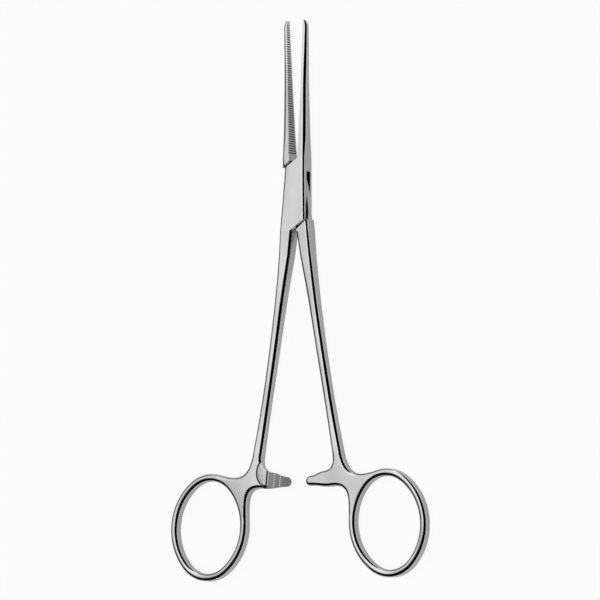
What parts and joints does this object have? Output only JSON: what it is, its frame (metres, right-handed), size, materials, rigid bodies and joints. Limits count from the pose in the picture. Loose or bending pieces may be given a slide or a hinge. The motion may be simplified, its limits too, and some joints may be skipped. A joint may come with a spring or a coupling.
{
  "type": "hemostat forceps",
  "caption": "Straight locking artery forceps with a box joint, serrated jaws, slim shanks, ratchet arms and finger rings.",
  "frame": {"origin": "on the pivot pin's axis, at the flat back face of the box lock", "axes": "+X to the right, +Y from the finger rings to the jaw tips, +Z out of the front face"},
  "size_m": [0.0826, 0.1595, 0.005],
  "materials": {
    "steel": "polished satin",
    "pin_steel": "ground flush and polished"
  },
  "bodies": {
    "box_side": {"box_half": "steel", "pivot_pin": "pin_steel"},
    "through_side": {"through_half": "steel"}
  },
  "joints": [
    {"name": "lock_pivot", "type": "hinge", "parent": "box_side", "child": "through_side", "pos_m": [0, 0, 0.0025], "axis": [0, 0, 1], "range_deg": [-5.8, 50]}
  ]
}
